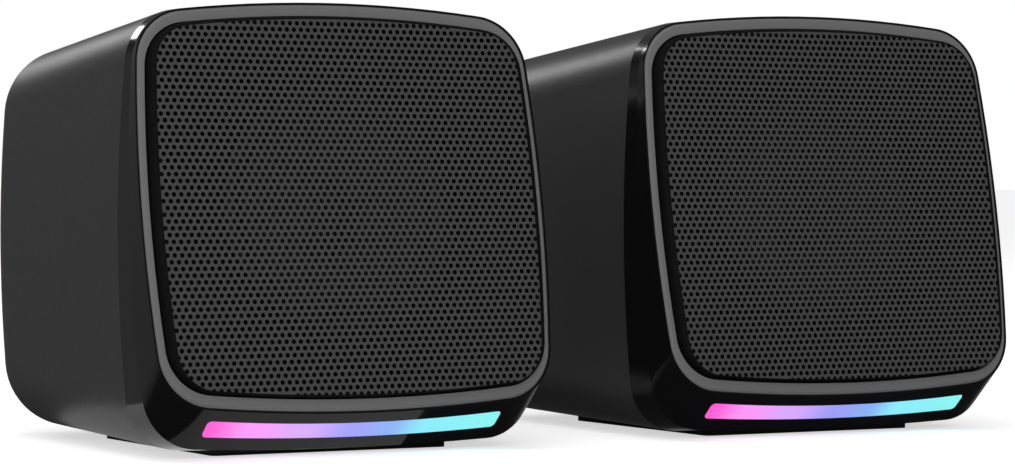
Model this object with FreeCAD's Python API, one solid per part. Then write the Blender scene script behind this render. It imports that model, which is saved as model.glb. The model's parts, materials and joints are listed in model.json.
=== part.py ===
"""A pair of small powered desktop speakers: two alike enclosures, the right one with the amplifier.

Units are millimetres. +Z is up, the fronts face -Y and +X is to the right as seen from the front.
Each enclosure is modelled about its own centre line, with Z = 0 on the desk and Y = 0 at the middle of
the grille's face, and is then set beside the other so that the origin is the bottom centre of the pair.

The grille, rim, baffle and driver lie square to a face that leans back. They are drawn in a frame of
their own: x across, y straight back from the middle of the grille's face, z up along the face.
"""
import FreeCAD
import Part

import math
import os

Vector = FreeCAD.Vector
Placement = FreeCAD.Placement
Rotation = FreeCAD.Rotation

X_AXIS = Vector(1, 0, 0)
Y_AXIS = Vector(0, 1, 0)
Z_AXIS = Vector(0, 0, 1)

# ---- Overall sizes ----
PAIR_SPACING = 131.2          # centre line to centre line
BODY_WIDTH = 102.2            # at the joint between frame and housing
BODY_TOP = 102.8              # top of the body above the desk
BODY_BOTTOM = 0.4             # underside of the body above the desk
BODY_BACK = 103.6             # back face, measured from the middle of the grille
BACK_TAPER = 2.3              # how far each side comes in towards the back
BACK_DROP = 7.4               # how far the top comes down towards the back
BACK_RISE = 1.1               # how far the underside rises towards the back
FACE_LEAN = 10.4              # degrees that the face leans back
FACE_LOW_EDGE = 9.8           # lower front edge above the desk
FACE_INSET = 0.2              # front edge inside the body's width, each side

# ---- Outline shape: four shallow bows joined by round corners ----
SIDE_BOW = 400.0
TOP_BOW = 330.0
FACE_BOTTOM_BOW = 400.0
BODY_BOTTOM_BOW = 750.0
CORNER_RADIUS = 13.0
BACK_CORNER_RADIUS = 17.0

# ---- Front frame ----
FRAME_WALL = 2.4
SEAM_Y = 15.4                 # joint between frame and housing
CHIN_Y = 5.0                  # where the steep chin turns under the body
CHIN_DROP = 0.9               # height of that turn above the body's underside
CHIN_TOP_Y = 12.5             # depth of the same section at the top
TONGUE_DEPTH = 6.0            # part of the frame that slips into the housing
TONGUE_ROOT = 4.0             # part of the frame behind the tongue that is as thick as both
TONGUE_WALL = 2.0
TONGUE_CLEARANCE = 0.15
BAFFLE_THICKNESS = 2.5

# ---- Rim and grille ----
RIM_SIDE_WIDTH = 1.6
RIM_END_WIDTH = 2.7
RIM_THICKNESS = 2.0
RIM_CHAMFER = 0.6
RIM_PROUD = 0.4               # rim face in front of the frame's edge
RIM_LIP = 0.5                 # frame left showing outside the rim
RIM_CLEARANCE = 0.1
GRILLE_PROUD = 2.6            # grille face in front of the rim face
GRILLE_SEAT = 3.0             # baffle face behind the rim face
GRILLE_SHEET = 0.8
GRILLE_EDGE_RADIUS = 1.6
GRILLE_CLEARANCE = 0.4

# ---- Light bar ----
BAR_LENGTH = 73.7
BAR_FRONT_Y = -2.5            # front edge of the bar, at the middle
BAR_BACK_Y = 2.1
BAR_LEAN = 7.0                # degrees that the bar's long sides lean back
BAR_DEPTH = 2.9
BAR_CLEARANCE = 0.1
BAR_CORNER = 1.0
LED_COUNT = 6
LED_END = 5.85                # end of the bar to the middle of the nearest light
LED_SIZE = 5.0
LED_HEIGHT = 1.4
LED_BOARD_END = 5.2           # board past each end of the bar
LED_BOARD_WIDTH = 6.0
LED_BOARD_THICKNESS = 1.0
LED_BOARD_SLOPE = 33.0        # degrees below level, along the chin
LED_BOARD_Y = 3.2
LED_BOARD_Z = 10.4
LED_POST_RADIUS = 2.4
LED_SCREW_RADIUS = 1.0
LED_SCREW_HEAD_RADIUS = 1.9
LED_SCREW_HEAD_HEIGHT = 1.2
LED_SCREW_GRIP = 3.0

# ---- Housing ----
HOUSING_WALL = 2.5
BACK_EDGE_RADIUS = 10.0

# ---- Foot pad ----
FOOT_WIDTH = 59.6
FOOT_LENGTH = 64.0
FOOT_FRONT_Y = 11.6
FOOT_THICKNESS = 1.8
FOOT_CORNER = 1.5
FOOT_CLEARANCE = 0.2

# ---- Screws that hold the housing to the frame ----
CASE_SCREW_SIDE = 9.8         # in from the sides of the back
CASE_SCREW_DROP = 11.9        # down from the top of the back
CASE_SCREW_RISE = 15.6        # up from the bottom of the back
CASE_BOSS_RADIUS = 4.0
CASE_BOSS_END_Y = 34.6        # end of the frame's bosses, where the housing's begin
CASE_SHOULDER = 3.0
CASE_SCREW_RADIUS = 1.4
CASE_SCREW_HEAD_RADIUS = 2.6
CASE_SCREW_HEAD_HEIGHT = 2.0
CASE_SCREW_GRIP = 10.0
CASE_WELL_RADIUS = 2.9

# ---- Driver ----
DRIVER_OPENING_RADIUS = 30.0
FLANGE_RADIUS = 37.0
FLANGE_THICKNESS = 1.2
BASKET_INNER_RADIUS = 29.0
BASKET_DEPTH = 18.8
SPIDER_SEAT_DEPTH = 14.6
SPIDER_SEAT_RADIUS = 19.6
BASKET_BACK_RADIUS = 16.7
BASKET_WINDOWS = 4
WINDOW_WIDTH = 17.0
GASKET_THICKNESS = 1.4
GASKET_INNER_RADIUS = 31.2
DRIVER_SCREW_CIRCLE = 34.0    # radius of the ring of screws
DRIVER_SCREW_RADIUS = 1.3
DRIVER_SCREW_HEAD_RADIUS = 2.4
DRIVER_SCREW_HEAD_HEIGHT = 1.6
DRIVER_SCREW_GRIP = 3.4       # length in the baffle
DRIVER_BOSS_RADIUS = 2.8
DRIVER_BOSS_HEIGHT = 2.0
SCREW_CLEARANCE = 0.3         # a screw in the piece it passes through
THREAD_CLEARANCE = 0.02       # a screw in the piece it bites
COIL_RADIUS = 7.8
FORMER_WALL = 0.25
WINDING_THICKNESS = 0.4
WINDING_LENGTH = 6.0
COIL_STAND = 1.0              # tube in front of the cone's neck
GAP_CLEARANCE = 0.4           # coil to the steel on either side
TOP_PLATE_THICKNESS = 3.0
TOP_PLATE_RADIUS = 17.5
MAGNET_RADIUS = 20.0
MAGNET_BORE = 11.0
MAGNET_THICKNESS = 8.0
YOKE_RADIUS = 18.5
YOKE_THICKNESS = 3.0
CONE_RADIUS = 24.5
CONE_NECK_DEPTH = 9.0         # neck behind the flange's face
CONE_SHEET = 0.5
SURROUND_RISE = 2.0
SURROUND_SHEET = 0.4
SURROUND_TUCK = 1.0           # roll behind the cone's edge
DUST_CAP_RADIUS = 9.6
DUST_CAP_RISE = 3.4
SPIDER_SHEET = 0.4
SPIDER_WAVES = 3
SPIDER_WAVE_RISE = 0.9
SPIDER_LIP = 1.6              # flat edge that sits on the basket
SPIDER_EDGE_GAP = 0.2
GLUE_GAP = 0.02
TAG_BOARD = (13.0, 1.2, 5.0)  # width, thickness, height
TAG_SIZE = (2.4, 7.0, 0.6)    # width, length, thickness

# ---- Lead glands ----
GLAND_Z = 15.0
GLAND_PITCH = 18.0
GLAND_RADIUS = 3.6
GLAND_FLANGE_RADIUS = 5.4
GLAND_FLANGE_THICKNESS = 1.6
GLAND_BORE_RADIUS = 1.9
GLAND_TAIL = 2.0              # bush inside the back wall
GLAND_CLEARANCE = 0.1

# ---- Amplifier and controls of the right speaker ----
BOARD_WIDTH = 62.0
BOARD_HEIGHT = 46.0
BOARD_THICKNESS = 1.6
BOARD_Z = 56.0
BOARD_GAP = 12.0              # board to the inside of the back wall
BOARD_POST_RADIUS = 3.0
BOARD_POST_INSET = 4.0
BOARD_SCREW_RADIUS = 1.3
BOARD_SCREW_HEAD_RADIUS = 2.4
BOARD_SCREW_HEAD_HEIGHT = 1.6
BOARD_SCREW_GRIP = 6.0
KNOB_X = 14.0
KNOB_Z = 62.0
KNOB_RADIUS = 9.0
KNOB_LENGTH = 10.0
KNOB_GAP = 0.6                # knob to the back wall
KNOB_RIBS = 24
KNOB_RIB_DEPTH = 0.5
KNOB_MARK_WIDTH = 1.0
KNOB_MARK_DEPTH = 0.5
SHAFT_RADIUS = 3.0
SHAFT_CLEARANCE = 0.05
SHAFT_HOLE_CLEARANCE = 0.6
POT_SIZE = (16.0, 9.0, 16.0)  # width, depth, height
POT_BORE_DEPTH = 6.0
BUTTON_X = -14.0
BUTTON_RADIUS = 4.0
BUTTON_CLEARANCE = 0.2
BUTTON_PROUD = 1.6
BUTTON_FLANGE = 1.2
BUTTON_FLANGE_THICKNESS = 1.0
BUTTON_TRAVEL = 1.2
SWITCH_SIZE = (8.0, 5.0, 8.0)
PLUNGER_RADIUS = 1.6
PLUNGER_CLEARANCE = 0.05
PLUNGER_BORE_DEPTH = 3.0

# ---- Values that follow from the sizes above ----
LEAN = math.radians(FACE_LEAN)
FRAME_FACE_WIDTH = BODY_WIDTH - 2 * FACE_INSET
FRAME_FACE_HEIGHT = (BODY_TOP - FACE_LOW_EDGE) / math.cos(LEAN)
BACK_WIDTH = BODY_WIDTH - 2 * BACK_TAPER
BACK_TOP = BODY_TOP - BACK_DROP
BACK_BOTTOM = BODY_BOTTOM + BACK_RISE
CASE_SCREW_X = BACK_WIDTH / 2 - CASE_SCREW_SIDE
CASE_SCREW_TOP_Z = BACK_TOP - CASE_SCREW_DROP
CASE_SCREW_BOTTOM_Z = BACK_BOTTOM + CASE_SCREW_RISE
LED_BOARD_LENGTH = BAR_LENGTH + 2 * LED_BOARD_END
LED_PITCH = (BAR_LENGTH - 2 * LED_END) / (LED_COUNT - 1)
RIM_Y = GRILLE_PROUD                              # rim face, in the face frame
FRAME_EDGE_Y = RIM_Y + RIM_PROUD                  # front edge of the frame
FACE_CENTRE = (BODY_TOP + FACE_LOW_EDGE) / 2 + FRAME_EDGE_Y * math.sin(LEAN)
BAFFLE_Y = RIM_Y + GRILLE_SEAT                    # front of the baffle
BAFFLE_BACK_Y = BAFFLE_Y + BAFFLE_THICKNESS
FLANGE_Y = BAFFLE_BACK_Y + GASKET_THICKNESS       # front of the driver's flange
RIM_WIDTH = FRAME_FACE_WIDTH - 2 * RIM_LIP
RIM_HEIGHT = FRAME_FACE_HEIGHT - 2 * RIM_LIP
RIM_OPENING_WIDTH = RIM_WIDTH - 2 * RIM_SIDE_WIDTH
RIM_OPENING_HEIGHT = RIM_HEIGHT - 2 * RIM_END_WIDTH
GRILLE_WIDTH = RIM_OPENING_WIDTH - 2 * GRILLE_CLEARANCE
GRILLE_HEIGHT = RIM_OPENING_HEIGHT - 2 * GRILLE_CLEARANCE
BACK_INSIDE_Y = BODY_BACK - HOUSING_WALL
BOARD_BACK_Y = BACK_INSIDE_Y - BOARD_GAP          # side of the board that faces the back wall
PLATE_Y = FLANGE_Y + BASKET_DEPTH                 # front of the magnet system
MAGNET_Y = PLATE_Y + TOP_PLATE_THICKNESS
YOKE_Y = MAGNET_Y + MAGNET_THICKNESS
COIL_OUTER_RADIUS = COIL_RADIUS + WINDING_THICKNESS
COIL_INNER_RADIUS = COIL_RADIUS - FORMER_WALL
FAR = 300.0                                       # longer than any piece

FACE = Placement(Vector(0, 0, FACE_CENTRE), Rotation(X_AXIS, -FACE_LEAN))


# ---- Drawing helpers ----
def moved(shape, placement):
    """A copy of a shape carried by a placement."""
    copy = shape.copy()
    copy.Placement = placement.multiply(copy.Placement)
    return copy


def shifted(shape, x=0.0, y=0.0, z=0.0):
    """A copy of a shape, moved."""
    return moved(shape, Placement(Vector(x, y, z), Rotation()))


def on_face(shape):
    """A shape drawn in the leaning face's frame, in its place on the body."""
    return moved(shape, FACE)


def face_point(x, y, z):
    """The place on the body of a point in the face's frame."""
    return FACE.multVec(Vector(x, y, z))


def box(width, depth, height, x=0.0, y=0.0, z=0.0):
    """A box centred across and in height on x and z, reaching back from y."""
    return Part.makeBox(width, depth, height, Vector(x - width / 2, y, z - height / 2))


def rod(radius, length, x=0.0, y=0.0, z=0.0):
    """A cylinder along Y, reaching back from y."""
    return Part.makeCylinder(radius, length, Vector(x, y, z), Y_AXIS)


def cut_all(shape, tools):
    """A shape less each of the tools."""
    for tool in tools:
        shape = shape.cut(tool)
    return shape


def join_all(shapes):
    """One solid out of shapes that meet."""
    whole = shapes[0]
    for shape in shapes[1:]:
        whole = whole.fuse(shape)
    return whole.removeSplitter()


def turned(profile):
    """A solid of revolution about the driver's axis; the profile is (radius, depth) points."""
    points = [Vector(radius, depth, 0) for radius, depth in profile]
    wire = Part.makePolygon(points + points[:1])
    return Part.Face(wire).revolve(Vector(0, 0, 0), Y_AXIS, 360)


def ring(inner, outer, front, back):
    """A flat ring about the driver's axis."""
    return turned([(inner, front), (outer, front), (outer, back), (inner, back)])


# ---- The bowed outline ----
def circles_meet(centre_a, radius_a, centre_b, radius_b):
    """The meeting point of two circles that has the larger x; points are (x, z)."""
    dx = centre_b[0] - centre_a[0]
    dz = centre_b[1] - centre_a[1]
    distance = math.hypot(dx, dz)
    along = (distance ** 2 + radius_a ** 2 - radius_b ** 2) / (2 * distance)
    across = math.sqrt(radius_a ** 2 - along ** 2)
    foot_x = centre_a[0] + along * dx / distance
    foot_z = centre_a[1] + along * dz / distance
    choices = [
        (foot_x - across * dz / distance, foot_z + across * dx / distance),
        (foot_x + across * dz / distance, foot_z - across * dx / distance),
    ]
    return max(choices)


def tangent_point(bow_centre, corner_centre, corner):
    """Where a corner's arc meets the bow round bow_centre."""
    dx = corner_centre[0] - bow_centre[0]
    dz = corner_centre[1] - bow_centre[1]
    reach = math.hypot(dx, dz)
    return (corner_centre[0] + corner * dx / reach, corner_centre[1] + corner * dz / reach)


def corner_arc(side_centre, side_bow, end_centre, end_bow, corner):
    """A right-hand corner as three (x, z) points: on the side, in the middle and on the end."""
    centre = circles_meet(side_centre, side_bow - corner, end_centre, end_bow - corner)
    on_side = tangent_point(side_centre, centre, corner)
    on_end = tangent_point(end_centre, centre, corner)
    middle_x = (on_side[0] + on_end[0]) / 2 - centre[0]
    middle_z = (on_side[1] + on_end[1]) / 2 - centre[1]
    reach = math.hypot(middle_x, middle_z)
    middle = (centre[0] + corner * middle_x / reach, centre[1] + corner * middle_z / reach)
    return on_side, middle, on_end


def outline(width, top, bottom, bottom_bow, corner, inset=0.0, y=0.0):
    """The bowed outline in the plane at y, as a closed wire of eight tangent arcs."""
    half = width / 2 - inset
    top = top - inset
    bottom = bottom + inset
    corner = corner - inset
    middle = (top + bottom) / 2
    side_centre = (half - (SIDE_BOW - inset), middle)
    top_centre = (0.0, top - (TOP_BOW - inset))
    bottom_centre = (0.0, bottom + (bottom_bow - inset))
    up_side, up_mid, up_end = corner_arc(
        side_centre, SIDE_BOW - inset, top_centre, TOP_BOW - inset, corner)
    low_side, low_mid, low_end = corner_arc(
        side_centre, SIDE_BOW - inset, bottom_centre, bottom_bow - inset, corner)

    def right(point):
        return Vector(point[0], y, point[1])

    def left(point):
        return Vector(-point[0], y, point[1])

    arcs = [
        (right(low_side), right((half, middle)), right(up_side)),
        (right(up_side), right(up_mid), right(up_end)),
        (right(up_end), right((0.0, top)), left(up_end)),
        (left(up_end), left(up_mid), left(up_side)),
        (left(up_side), left((half, middle)), left(low_side)),
        (left(low_side), left(low_mid), left(low_end)),
        (left(low_end), right((0.0, bottom)), right(low_end)),
        (right(low_end), right(low_mid), right(low_side)),
    ]
    return Part.Wire([Part.Arc(*arc).toShape() for arc in arcs])


def face_outline(width, height, inset=0.0, y=0.0):
    """The outline in the face's frame, for the frame's edge, the rim and the grille."""
    corner = CORNER_RADIUS - (FRAME_FACE_WIDTH - width) / 2
    return outline(width, height / 2, -height / 2, FACE_BOTTOM_BOW, corner, inset, y)


def face_prism(width, height, front, back, inset=0.0):
    """The face's outline drawn out from front to back, in the face's frame."""
    wire = face_outline(width, height, inset, front)
    return Part.Face(wire).extrude(Vector(0, back - front, 0))


def seam_outline(inset=0.0, y=SEAM_Y):
    """The body's outline at the joint between frame and housing."""
    return outline(BODY_WIDTH, BODY_TOP, BODY_BOTTOM, BODY_BOTTOM_BOW, CORNER_RADIUS, inset, y)


def back_outline(inset=0.0, y=BODY_BACK):
    """The body's outline at the back."""
    return outline(BACK_WIDTH, BACK_TOP, BACK_BOTTOM, BODY_BOTTOM_BOW, BACK_CORNER_RADIUS, inset, y)


def chin_outline(inset=0.0):
    """The section where the chin turns under the body; its plane leans a little."""
    low = Vector(0, CHIN_Y, BODY_BOTTOM + CHIN_DROP)
    high = Vector(0, CHIN_TOP_Y, BODY_TOP)
    rise = high.sub(low)
    lean = math.degrees(math.atan2(rise.y, rise.z))
    width = (FRAME_FACE_WIDTH + BODY_WIDTH) / 2
    bow = 2 * FACE_BOTTOM_BOW
    wire = outline(width, rise.Length, 0.0, bow, CORNER_RADIUS, inset)
    return moved(wire, Placement(low, Rotation(X_AXIS, -lean)))


# ---- Front frame ----
def frame_block(inset=0.0):
    """The frame's outer shape from its front edge to the joint, or its inside when inset."""
    front = on_face(face_outline(FRAME_FACE_WIDTH, FRAME_FACE_HEIGHT, inset, FRAME_EDGE_Y))
    return Part.makeLoft([front, chin_outline(inset), seam_outline(inset)], True, True)


def before(y):
    """All the space in front of a depth."""
    return box(FAR, FAR, FAR, y=y - FAR, z=FACE_CENTRE)


def tongue_block(inset):
    """The part of the frame that slips into the housing and follows its taper, or its inside."""
    return housing_block(inset).common(before(SEAM_Y + TONGUE_DEPTH))


def frame_hollow():
    """The frame's inside: wide in front, and as narrow as the tongue's inside at its root."""
    root = SEAM_Y - TONGUE_ROOT
    inset = HOUSING_WALL + TONGUE_CLEARANCE + TONGUE_WALL
    neck = Part.Face(seam_outline(inset, root)).extrude(Vector(0, TONGUE_ROOT, 0))
    wide = frame_block(FRAME_WALL).common(before(root))
    return wide.fuse(neck).fuse(housing_block(inset)).common(behind_baffle())


def behind_baffle():
    """All the space behind the baffle."""
    return on_face(box(FAR, FAR, FAR, y=BAFFLE_BACK_Y))


def bar_slab(clearance=0.0):
    """The upright slab that holds the light bar: its width, length and lean."""
    depth = (BAR_BACK_Y - BAR_FRONT_Y) * math.cos(math.radians(BAR_LEAN))
    slab = Part.makeBox(
        BAR_LENGTH + 2 * clearance, depth + 2 * clearance, FACE_CENTRE,
        Vector(-BAR_LENGTH / 2 - clearance, -clearance, -FACE_CENTRE / 2))
    upright = [e for e in slab.Edges if e.BoundBox.ZLength > FACE_CENTRE / 2]
    slab = slab.makeFillet(BAR_CORNER + clearance, upright)
    chin_slope = math.tan(math.radians(LED_BOARD_SLOPE))
    front_edge = face_point(0, FRAME_EDGE_Y, -FRAME_FACE_HEIGHT / 2)
    height = front_edge.z - (BAR_FRONT_Y - front_edge.y) * chin_slope
    return moved(slab, Placement(Vector(0, BAR_FRONT_Y, height), Rotation(X_AXIS, -BAR_LEAN)))


def case_screw_places():
    """The (x, z) places of the four screws that hold the housing."""
    return [(x, z) for x in (-CASE_SCREW_X, CASE_SCREW_X) for z in (CASE_SCREW_BOTTOM_Z, CASE_SCREW_TOP_Z)]


def baffle_depth(z):
    """How far back the middle of the baffle's thickness lies at a height."""
    middle = BAFFLE_Y + BAFFLE_THICKNESS / 2
    return middle / math.cos(LEAN) + (z - FACE_CENTRE) * math.tan(LEAN)


def frame_bosses():
    """The posts behind the baffle that the housing's screws bite."""
    posts = []
    for x, z in case_screw_places():
        start = baffle_depth(z)
        posts.append(rod(CASE_BOSS_RADIUS, CASE_BOSS_END_Y - start, x, start, z))
    return posts


def driver_screw_places():
    """The (x, z) places of the driver's screws, in the face's frame."""
    angles = [math.radians(45 + 90 * turn) for turn in range(4)]
    return [(DRIVER_SCREW_CIRCLE * math.cos(a), DRIVER_SCREW_CIRCLE * math.sin(a)) for a in angles]


def led_frame():
    """The frame of the light board: its middle, with y square to the chin and inwards."""
    return Placement(Vector(0, LED_BOARD_Y, LED_BOARD_Z), Rotation(X_AXIS, 90 - LED_BOARD_SLOPE))


def led_post_places():
    """Where the light board is screwed down, across the body."""
    reach = (BAR_LENGTH + LED_BOARD_LENGTH) / 4
    return [-reach, reach]


def led_posts():
    """Posts that rise from the chin to the light board."""
    posts = [rod(LED_POST_RADIUS, LED_BOARD_Z, x, -LED_BOARD_Z) for x in led_post_places()]
    return [moved(post, led_frame()).common(frame_block()) for post in posts]


def front_frame():
    """The gloss front moulding: side band, chin, baffle, tongue and bosses."""
    body = frame_block().fuse(tongue_block(HOUSING_WALL + TONGUE_CLEARANCE)).cut(frame_hollow())
    bosses = [on_face(rod(DRIVER_BOSS_RADIUS, DRIVER_BOSS_HEIGHT + 1, x, BAFFLE_Y - DRIVER_BOSS_HEIGHT, z))
              for x, z in driver_screw_places()]
    rim_seat = face_prism(RIM_WIDTH, RIM_HEIGHT, 0, RIM_Y + RIM_THICKNESS, -RIM_CLEARANCE)
    grille_seat = face_prism(RIM_OPENING_WIDTH, RIM_OPENING_HEIGHT, 0, BAFFLE_Y)
    opening = rod(DRIVER_OPENING_RADIUS, FAR, y=0)
    body = cut_all(body, [on_face(rim_seat), on_face(grille_seat), on_face(opening)])
    body = join_all([body] + bosses + frame_bosses() + led_posts())
    return cut_all(body, frame_holes())


def frame_holes():
    """The light bar's slot, the foot's seat and the screw holes of the front frame."""
    holes = [bar_slab(BAR_CLEARANCE).cut(frame_block(BAR_DEPTH + BAR_CLEARANCE)), foot_block(FOOT_CLEARANCE)]
    for x, z in case_screw_places():
        start = CASE_BOSS_END_Y - CASE_SCREW_GRIP - 1
        holes.append(rod(CASE_SCREW_RADIUS + THREAD_CLEARANCE, FAR, x, start, z))
    for x, z in driver_screw_places():
        start = BAFFLE_BACK_Y - DRIVER_SCREW_GRIP - THREAD_CLEARANCE
        depth = BAFFLE_BACK_Y - start
        holes.append(on_face(rod(DRIVER_SCREW_RADIUS + THREAD_CLEARANCE, depth, x, start, z)))
    grip = LED_SCREW_GRIP + THREAD_CLEARANCE
    for x in led_post_places():
        holes.append(moved(rod(LED_SCREW_RADIUS + THREAD_CLEARANCE, grip, x, -grip), led_frame()))
    return holes


def rim_trim():
    """The grey ring round the grille, with a bevelled outer edge."""
    back = RIM_Y + RIM_THICKNESS
    base = face_prism(RIM_WIDTH, RIM_HEIGHT, RIM_Y + RIM_CHAMFER, back)
    nose = Part.makeLoft([
        face_outline(RIM_WIDTH, RIM_HEIGHT, RIM_CHAMFER, RIM_Y),
        face_outline(RIM_WIDTH, RIM_HEIGHT, 0.0, RIM_Y + RIM_CHAMFER)], True, True)
    hole = face_prism(RIM_OPENING_WIDTH, RIM_OPENING_HEIGHT, 0, back + 1)
    return on_face(base.fuse(nose).removeSplitter().cut(hole))


def grille():
    """The grille's sheet as a plain cap with a rounded edge."""
    outer = face_prism(GRILLE_WIDTH, GRILLE_HEIGHT, 0, BAFFLE_Y)
    inner = face_prism(GRILLE_WIDTH, GRILLE_HEIGHT, GRILLE_SHEET, BAFFLE_Y, GRILLE_SHEET)
    outer = round_front(outer, 0, GRILLE_EDGE_RADIUS)
    inner = round_front(inner, GRILLE_SHEET, GRILLE_EDGE_RADIUS - GRILLE_SHEET)
    return on_face(outer.cut(inner))


def edges_at(solid, y):
    """The edges of a solid that lie in the plane at y."""
    return [e for e in solid.Edges if abs(e.BoundBox.YMin - y) < 0.01 and abs(e.BoundBox.YMax - y) < 0.01]


def round_front(solid, y, radius):
    """A solid with the edges at y rounded."""
    return solid.makeFillet(radius, edges_at(solid, y))


# ---- Light bar ----
def light_diffuser():
    """The light bar, flush with the chin."""
    return bar_slab().common(frame_block()).cut(frame_block(BAR_DEPTH))


def led_board():
    """The strip that carries the lights, with its two screw holes."""
    board = box(LED_BOARD_LENGTH, LED_BOARD_THICKNESS, LED_BOARD_WIDTH)
    holes = [rod(LED_SCREW_RADIUS + SCREW_CLEARANCE, LED_BOARD_THICKNESS, x) for x in led_post_places()]
    return moved(cut_all(board, holes), led_frame())


def leds():
    """The row of lights on the chin side of the board."""
    first = -LED_PITCH * (LED_COUNT - 1) / 2
    lights = []
    for index in range(LED_COUNT):
        x = first + index * LED_PITCH
        lights.append(box(LED_SIZE, LED_HEIGHT, LED_SIZE, x, -LED_HEIGHT))
    return moved(Part.makeCompound(lights), led_frame())



def screw(radius, head_radius, head_height, length):
    """A pan-head screw along Y: the shank reaches forward from 0, the head back from 0."""
    shank = rod(radius, length, 0, -length)
    head = rod(head_radius, head_height)
    head = head.makeChamfer(head_height / 3, edges_at(head, head_height))
    slot = box(2 * head_radius * 0.7, head_height / 2, head_height / 3, y=head_height / 2)
    cross = slot.fuse(moved(slot, Placement(Vector(), Rotation(Y_AXIS, 90))))
    return shank.fuse(head).removeSplitter().cut(cross)


def led_board_screws():
    """The two screws of the light board."""
    length = LED_SCREW_GRIP + LED_BOARD_THICKNESS
    one = screw(LED_SCREW_RADIUS, LED_SCREW_HEAD_RADIUS, LED_SCREW_HEAD_HEIGHT, length)
    pair = [shifted(one, x, LED_BOARD_THICKNESS) for x in led_post_places()]
    return moved(Part.makeCompound(pair), led_frame())


# ---- Housing ----
def housing_block(inset=0.0):
    """The housing's outer shape with its rounded back edge, or its inside when inset."""
    back = BODY_BACK - inset
    block = Part.makeLoft([seam_outline(inset), back_outline(inset, back)], True, True)
    return block.makeFillet(BACK_EDGE_RADIUS - inset, edges_at(block, back))


def housing(controls):
    """The matte shell with its screw wells, and on the right speaker the posts for the board."""
    outer = housing_block()
    shell = outer.cut(housing_block(HOUSING_WALL))
    posts = []
    for x, z in case_screw_places():
        posts.append(rod(CASE_BOSS_RADIUS, FAR, x, CASE_BOSS_END_Y, z))
    if controls:
        for x, z in board_screw_places():
            posts.append(rod(BOARD_POST_RADIUS, FAR, x, BOARD_BACK_Y, z))
    posts = [post.common(outer) for post in posts]
    return cut_all(join_all([shell] + posts), housing_holes(controls))


def housing_holes(controls):
    """The wells, the foot's seat, the gland holes and the holes of the controls."""
    holes = [foot_block(FOOT_CLEARANCE)]
    for x, z in case_screw_places():
        holes.append(rod(CASE_WELL_RADIUS, FAR, x, CASE_BOSS_END_Y + CASE_SHOULDER, z))
        holes.append(rod(CASE_SCREW_RADIUS + SCREW_CLEARANCE, FAR, x, CASE_BOSS_END_Y - 1, z))
    for x in gland_places(controls):
        holes.append(rod(GLAND_RADIUS + GLAND_CLEARANCE, FAR, x, BACK_INSIDE_Y - HOUSING_WALL, GLAND_Z))
    if controls:
        holes.append(rod(SHAFT_RADIUS + SHAFT_HOLE_CLEARANCE, FAR, KNOB_X, BACK_INSIDE_Y - 1, KNOB_Z))
        holes.append(rod(BUTTON_RADIUS + BUTTON_CLEARANCE, FAR, BUTTON_X, BACK_INSIDE_Y - 1, KNOB_Z))
        for x, z in board_screw_places():
            grip = BOARD_SCREW_GRIP + THREAD_CLEARANCE
            holes.append(rod(BOARD_SCREW_RADIUS + THREAD_CLEARANCE, grip, x, BOARD_BACK_Y, z))
    return holes


def housing_screws():
    """The four screws at the bottom of the wells."""
    length = CASE_SHOULDER + CASE_SCREW_GRIP
    one = screw(CASE_SCREW_RADIUS, CASE_SCREW_HEAD_RADIUS, CASE_SCREW_HEAD_HEIGHT, length)
    seat = CASE_BOSS_END_Y + CASE_SHOULDER
    return Part.makeCompound([shifted(one, x, seat, z) for x, z in case_screw_places()])


def foot_block(clearance=0.0):
    """The foot pad's shape, or its seat in the body when given a clearance."""
    width = FOOT_WIDTH + 2 * clearance
    length = FOOT_LENGTH + 2 * clearance
    middle = FOOT_FRONT_Y + FOOT_LENGTH / 2
    corner = Vector(-width / 2, middle - length / 2, 0)
    block = Part.makeBox(width, length, FOOT_THICKNESS, corner)
    upright = [e for e in block.Edges if e.BoundBox.ZLength > FOOT_THICKNESS / 2]
    return block.makeFillet(FOOT_CORNER, upright)


# ---- Driver ----
def basket():
    """The driver's steel basket, with windows and a seat for the spider."""
    sheet = FLANGE_THICKNESS
    profile = [
        (BASKET_INNER_RADIUS, 0), (FLANGE_RADIUS, 0), (FLANGE_RADIUS, sheet),
        (BASKET_INNER_RADIUS + sheet, sheet),
        (SPIDER_SEAT_RADIUS + sheet, SPIDER_SEAT_DEPTH + sheet),
        (BASKET_BACK_RADIUS, SPIDER_SEAT_DEPTH + sheet),
        (BASKET_BACK_RADIUS, BASKET_DEPTH), (COIL_OUTER_RADIUS + 2 * GAP_CLEARANCE, BASKET_DEPTH),
        (COIL_OUTER_RADIUS + 2 * GAP_CLEARANCE, BASKET_DEPTH - sheet),
        (BASKET_BACK_RADIUS - sheet, BASKET_DEPTH - sheet),
        (BASKET_BACK_RADIUS - sheet, SPIDER_SEAT_DEPTH),
        (SPIDER_SEAT_RADIUS, SPIDER_SEAT_DEPTH), (BASKET_INNER_RADIUS, sheet),
    ]
    window_depth = SPIDER_SEAT_DEPTH - 4 * sheet
    cuts = []
    for index in range(BASKET_WINDOWS):
        window = Part.makeBox(WINDOW_WIDTH, window_depth, FLANGE_RADIUS,
                              Vector(-WINDOW_WIDTH / 2, 2.5 * sheet, COIL_OUTER_RADIUS))
        turn = Rotation(Y_AXIS, 360.0 * index / BASKET_WINDOWS)
        cuts.append(moved(window, Placement(Vector(), turn)))
    for x, z in driver_screw_places():
        cuts.append(rod(DRIVER_SCREW_RADIUS + SCREW_CLEARANCE, 2 * sheet, x, -sheet / 2, z))
    return on_face(shifted(cut_all(turned(profile), cuts), y=FLANGE_Y))


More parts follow.
